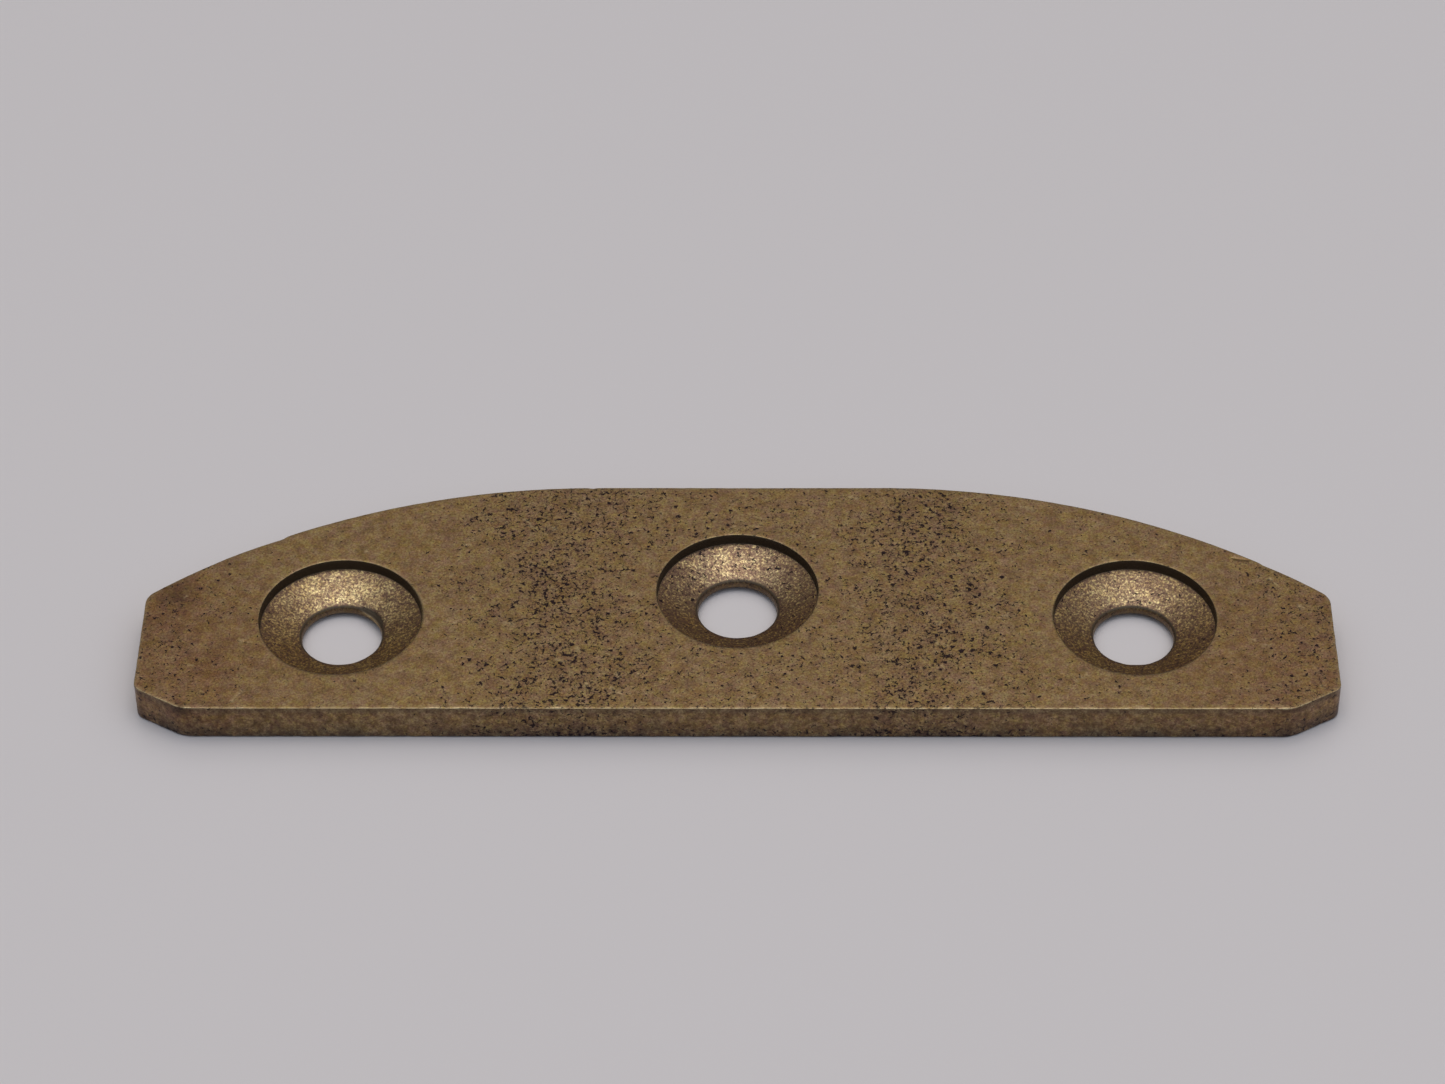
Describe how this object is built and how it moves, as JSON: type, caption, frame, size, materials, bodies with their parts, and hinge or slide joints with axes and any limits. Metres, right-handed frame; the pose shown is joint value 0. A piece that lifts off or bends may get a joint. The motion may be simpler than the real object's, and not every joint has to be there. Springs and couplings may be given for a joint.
{
  "type": "door guard fixing plate",
  "caption": "Flat aged-brass fixing plate with an arched back edge, cut-off front corners and countersunk screw holes.",
  "frame": {"origin": "centre of the bounding box of the underside, so the plate lies on z = 0", "axes": "+X along the plate, +Y from the straight front edge towards the arched back edge, +Z out of the face with the screw-head seats"},
  "size_m": [0.076, 0.0204, 0.0026],
  "materials": {
    "aged_brass": "aged, satin, with dark specks"
  },
  "bodies": {
    "root": {"guard_plate": "aged_brass"}
  },
  "joints": []
}
